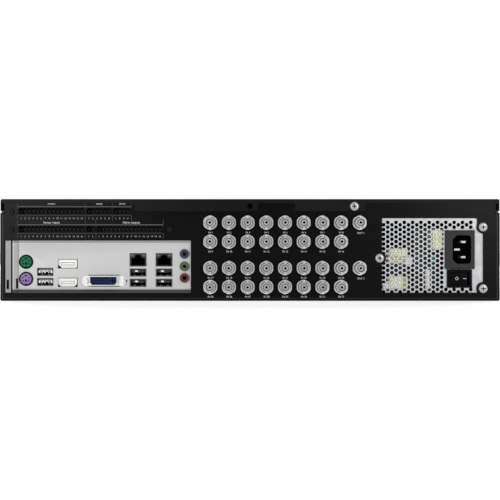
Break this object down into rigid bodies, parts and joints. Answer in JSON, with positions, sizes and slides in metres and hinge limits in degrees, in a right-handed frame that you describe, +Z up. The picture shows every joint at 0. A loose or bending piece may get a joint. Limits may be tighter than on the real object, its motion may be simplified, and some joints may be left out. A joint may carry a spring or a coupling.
{
  "type": "dvr recorder",
  "caption": "Rack-mounted digital video recorder with rows of video sockets, a computer board's shield, terminal strips and a power supply on its rear.",
  "frame": {"origin": "middle of the underside, below the centre of the overall box", "axes": "+X to the right when the connector panel is looked at, +Y from the connector panel (rear) towards the front door and handles, +Z up"},
  "size_m": [0.4826, 0.459, 0.088],
  "materials": {
    "black_paint": "satin powder coat",
    "front_paint": "satin powder coat",
    "zinc_steel": "zinc-plated, satin",
    "shield_steel": "tinned, matt",
    "nickel": "nickel plate",
    "bright_screw": "zinc plate",
    "black_screw": "black oxide",
    "gold": "gold plate",
    "circuit_green": "solder mask",
    "circuit_dark": "solder mask",
    "black_plastic": "moulded",
    "white_plastic": "moulded",
    "grey_plastic": "moulded",
    "green_plastic": "moulded",
    "purple_plastic": "moulded",
    "blue_plastic": "moulded",
    "jack_blue": "moulded",
    "jack_green": "moulded",
    "jack_pink": "moulded",
    "ribbon_grey": "flat cable",
    "cast_alloy": "as cast",
    "fin_alloy": "extruded",
    "light_lens": "clear lens"
  },
  "bodies": {
    "chassis": {"base_tray": "black_paint", "rear_panel": "black_paint", "top_cover": "black_paint", "front_panel": "front_paint", "drive_cage": "zinc_steel", "fan_bracket": "zinc_steel", "rear_screws": "bright_screw", "black_screws": "black_screw", "terminal_board": "circuit_green", "upper_terminal_headers": "black_plastic", "lower_terminal_headers": "black_plastic", "terminal_pins": "nickel", "bnc_board": "circuit_green", "bnc_shells_upper": "nickel", "bnc_shells_lower": "nickel", "bnc_nuts": "nickel", "bnc_insulators": "white_plastic", "bnc_contacts": "nickel", "motherboard": "circuit_green", "board_components": "black_plastic", "board_standoffs": "gold", "memory_modules": "circuit_dark", "cpu_heatsink": "fin_alloy", "capture_card": "circuit_dark", "ribbon_cables": "ribbon_grey", "io_shield": "shield_steel", "shield_side_strip": "shield_steel", "mouse_port": "green_plastic", "keyboard_port": "purple_plastic", "usb_port_pair": "nickel", "display_port_upper": "nickel", "display_port_lower": "nickel", "monitor_port_shell": "nickel", "monitor_port_insert": "blue_plastic", "network_stack_left": "nickel", "network_stack_right": "nickel", "audio_jack_blue": "jack_blue", "audio_jack_green": "jack_green", "audio_jack_pink": "jack_pink", "psu_case": "zinc_steel", "psu_board": "circuit_dark", "inlet_body": "black_plastic", "inlet_pins": "nickel", "switch_frame": "black_plastic", "fan_frames": "black_plastic", "hard_drives": "cast_alloy", "optical_drive": "zinc_steel", "status_lights": "light_lens", "front_usb_ports": "nickel", "handles": "front_paint"},
    "power_rocker": {"switch_rocker": "black_plastic"},
    "psu_fan": {"psu_fan_rotor": "black_plastic"},
    "case_fan_left": {"case_fan_rotor_left": "black_plastic"},
    "case_fan_right": {"case_fan_rotor_right": "black_plastic"},
    "door": {"front_door": "front_paint"},
    "lock": {"door_lock": "bright_screw"},
    "disc_tray": {"optical_tray": "black_plastic"},
    "eject": {"eject_button": "black_plastic"},
    "power_key": {"power_button": "grey_plastic"},
    "reset_key": {"reset_button": "grey_plastic"}
  },
  "joints": [
    {"name": "power_rocker_tilt", "type": "hinge", "parent": "chassis", "child": "power_rocker", "pos_m": [0.1811, -0.2125, 0.0193], "axis": [0, 0, 1], "range_deg": [0, 20]},
    {"name": "psu_fan_spin", "type": "hinge", "parent": "chassis", "child": "psu_fan", "pos_m": [0.158, -0.0365, 0.0389], "axis": [0, 1, 0], "continuous": true},
    {"name": "case_fan_left_spin", "type": "hinge", "parent": "chassis", "child": "case_fan_left", "pos_m": [-0.125, 0.0025, 0.0435], "axis": [0, 1, 0], "continuous": true},
    {"name": "case_fan_right_spin", "type": "hinge", "parent": "chassis", "child": "case_fan_right", "pos_m": [-0.035, 0.0025, 0.0435], "axis": [0, 1, 0], "continuous": true},
    {"name": "front_door_swing", "type": "hinge", "parent": "chassis", "child": "door", "pos_m": [-0.195, 0.2005, 0.044], "axis": [0, 0, 1], "range_deg": [0, 110]},
    {"name": "door_lock_turn", "type": "hinge", "parent": "door", "child": "lock", "pos_m": [0.048, 0.2045, 0.044], "axis": [0, -1, 0], "range_deg": [0, 90]},
    {"name": "disc_tray_slide", "type": "slide", "parent": "chassis", "child": "disc_tray", "axis": [0, 1, 0], "range_m": [0, 0.118]},
    {"name": "eject_button_press", "type": "slide", "parent": "disc_tray", "child": "eject", "axis": [0, -1, 0], "range_m": [0, 0.0008], "stiffness_N_per_m": 500},
    {"name": "power_button_press", "type": "slide", "parent": "chassis", "child": "power_key", "axis": [0, -1, 0], "range_m": [0, 0.002], "stiffness_N_per_m": 400},
    {"name": "reset_button_press", "type": "slide", "parent": "chassis", "child": "reset_key", "axis": [0, -1, 0], "range_m": [0, 0.0012], "stiffness_N_per_m": 400}
  ]
}
